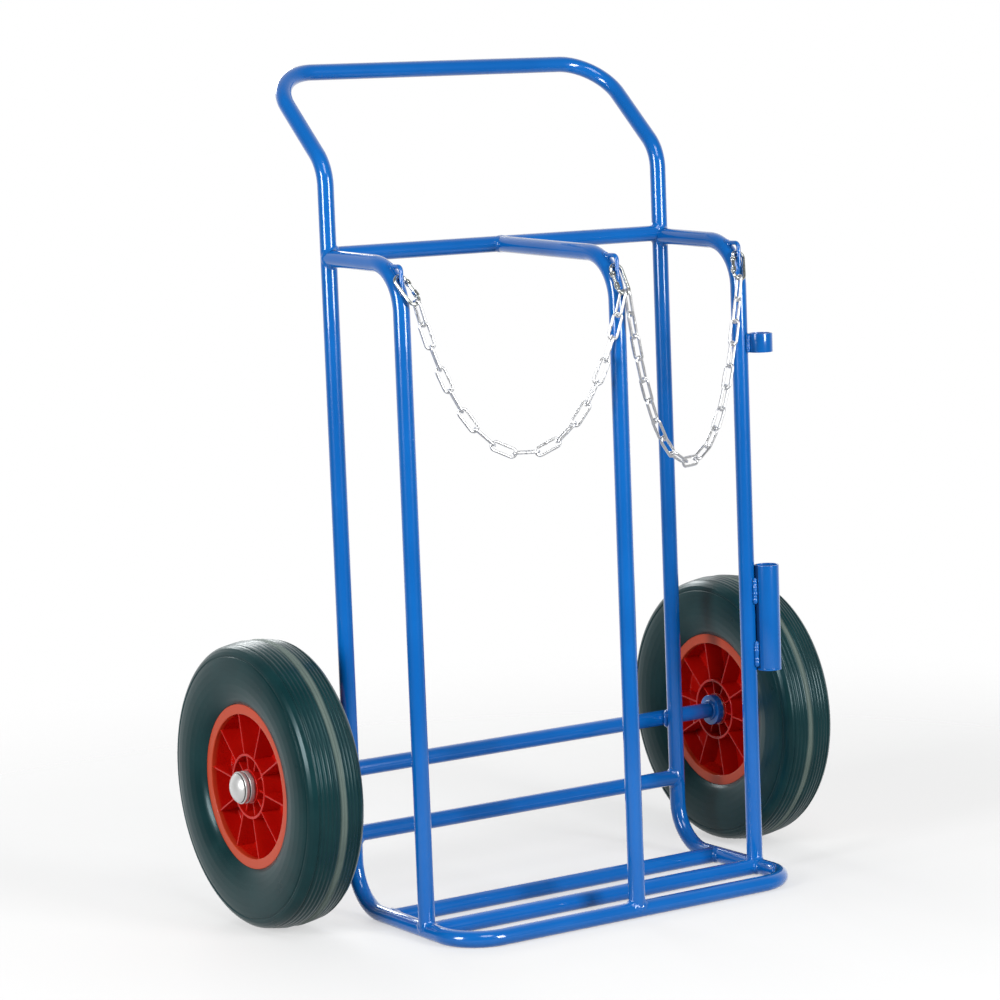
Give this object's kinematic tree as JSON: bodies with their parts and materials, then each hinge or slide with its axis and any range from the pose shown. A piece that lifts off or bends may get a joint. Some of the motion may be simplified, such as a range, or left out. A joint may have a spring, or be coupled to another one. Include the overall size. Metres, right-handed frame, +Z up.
{
  "type": "gas bottle cart",
  "caption": "Two-bottle oxy acetylene cart: bent round-tube frame, two solid-tyred wheels, restraint chains on snap hooks and a rod holder.",
  "frame": {"origin": "on the floor, under the middle of the whole cart", "axes": "+Z up, +X to the side with the rod holder, -Y towards the open front of the bottle bays, so the handle leans towards +Y"},
  "size_m": [0.914, 0.5339, 1.1835],
  "materials": {
    "powder_blue": "glossy blue powder coat on welded steel tube",
    "tyre_rubber": "smooth greenish black solid rubber",
    "rim_red": "glossy red injection-moulded plastic",
    "cap_chrome": "bright pressed cap",
    "washer_zinc": "zinc-plated steel",
    "bearing_steel": "ground steel",
    "cage_steel": "pressed steel",
    "hook_steel": "bright zinc-plated wire",
    "chain_zinc": "bright zinc-plated welded chain"
  },
  "bodies": {
    "frame": {"handle_hoop": "powder_blue", "left_upright": "powder_blue", "right_upright": "powder_blue", "base_hoop": "powder_blue", "top_crossbar": "powder_blue", "lower_crossbar": "powder_blue", "rear_base_slat": "powder_blue", "front_base_slat": "powder_blue", "left_front_post": "powder_blue", "middle_front_post": "powder_blue", "right_front_post": "powder_blue", "left_chain_lug": "powder_blue", "middle_chain_lug": "powder_blue", "right_chain_lug": "powder_blue", "rod_holder_tube": "powder_blue", "rod_guide_ring": "powder_blue", "rod_holder_floor": "powder_blue", "axle_bar": "powder_blue", "left_stop_collar": "powder_blue", "right_stop_collar": "powder_blue", "left_inner_washer": "washer_zinc", "right_inner_washer": "washer_zinc", "left_outer_washer": "washer_zinc", "right_outer_washer": "washer_zinc", "left_axle_cap": "cap_chrome", "right_axle_cap": "cap_chrome"},
    "left_wheel": {"left_tyre": "tyre_rubber", "left_rim": "rim_red", "left_hub_sleeve": "bearing_steel"},
    "left_bearing": {"left_bearing_cage": "cage_steel", "left_bearing_rollers": "bearing_steel"},
    "right_wheel": {"right_tyre": "tyre_rubber", "right_rim": "rim_red", "right_hub_sleeve": "bearing_steel"},
    "right_bearing": {"right_bearing_cage": "cage_steel", "right_bearing_rollers": "bearing_steel"},
    "left_hook": {"left_hook_body": "hook_steel", "left_gate_pin": "hook_steel"},
    "left_gate": {"left_hook_gate": "hook_steel", "left_gate_spring": "hook_steel"},
    "left_chain": {"left_chain": "chain_zinc"},
    "middle_hook": {"middle_hook_body": "hook_steel", "middle_gate_pin": "hook_steel"},
    "middle_gate": {"middle_hook_gate": "hook_steel", "middle_gate_spring": "hook_steel"},
    "right_hook": {"right_hook_body": "hook_steel", "right_gate_pin": "hook_steel"},
    "right_gate": {"right_hook_gate": "hook_steel", "right_gate_spring": "hook_steel"},
    "right_chain": {"right_chain": "chain_zinc"}
  },
  "joints": [
    {"name": "left_wheel_spin", "type": "hinge", "parent": "frame", "child": "left_wheel", "pos_m": [-0.4005, 0.06697, 0.2], "axis": [1, 0, 0], "continuous": true},
    {"name": "left_bearing_roll", "type": "hinge", "parent": "frame", "child": "left_bearing", "pos_m": [-0.4005, 0.06697, 0.2], "axis": [1, 0, 0], "continuous": true},
    {"name": "right_wheel_spin", "type": "hinge", "parent": "frame", "child": "right_wheel", "pos_m": [0.4005, 0.06697, 0.2], "axis": [1, 0, 0], "continuous": true},
    {"name": "right_bearing_roll", "type": "hinge", "parent": "frame", "child": "right_bearing", "pos_m": [0.4005, 0.06697, 0.2], "axis": [1, 0, 0], "continuous": true},
    {"name": "left_hook_swing", "type": "hinge", "parent": "frame", "child": "left_hook", "pos_m": [-0.28, -0.13823, 0.89796], "axis": [-0.9094, 0.3974, 0.1227], "range_deg": [0, 10]},
    {"name": "left_chain_swing", "type": "hinge", "parent": "left_hook", "child": "left_chain", "pos_m": [-0.26752, -0.16027, 0.86127], "axis": [-0.9366, 0.3504, 0.0021], "range_deg": [0, 8]},
    {"name": "left_gate_open", "type": "hinge", "parent": "left_hook", "child": "left_gate", "pos_m": [-0.27065, -0.14305, 0.88994], "axis": [0, 0.8572, -0.515], "range_deg": [0, 20], "stiffness_Nm_per_rad": 0.05, "springref_deg": -34.38},
    {"name": "middle_hook_twist", "type": "hinge", "parent": "frame", "child": "middle_hook", "pos_m": [0, -0.23623, 0.89854], "axis": [0, -0.515, -0.8572], "range_deg": [-2, 2]},
    {"name": "middle_gate_open", "type": "hinge", "parent": "middle_hook", "child": "middle_gate", "pos_m": [-0.0085, -0.24267, 0.88782], "axis": [0, -0.8572, 0.515], "range_deg": [0, 20], "stiffness_Nm_per_rad": 0.05, "springref_deg": -34.38},
    {"name": "right_hook_swing", "type": "hinge", "parent": "frame", "child": "right_hook", "pos_m": [0.28, -0.13823, 0.89796], "axis": [-0.9094, -0.3974, -0.1227], "range_deg": [0, 10]},
    {"name": "right_chain_swing", "type": "hinge", "parent": "right_hook", "child": "right_chain", "pos_m": [0.26752, -0.16027, 0.86127], "axis": [-0.9366, -0.3504, -0.0021], "range_deg": [0, 8]},
    {"name": "right_gate_open", "type": "hinge", "parent": "right_hook", "child": "right_gate", "pos_m": [0.27065, -0.14305, 0.88994], "axis": [0, -0.8572, 0.515], "range_deg": [0, 20], "stiffness_Nm_per_rad": 0.05, "springref_deg": -34.38}
  ],
  "couplings": [
    {"joint": "left_bearing_roll", "follows": "left_wheel_spin", "ratio": 0.58958},
    {"joint": "right_bearing_roll", "follows": "right_wheel_spin", "ratio": 0.58958}
  ]
}
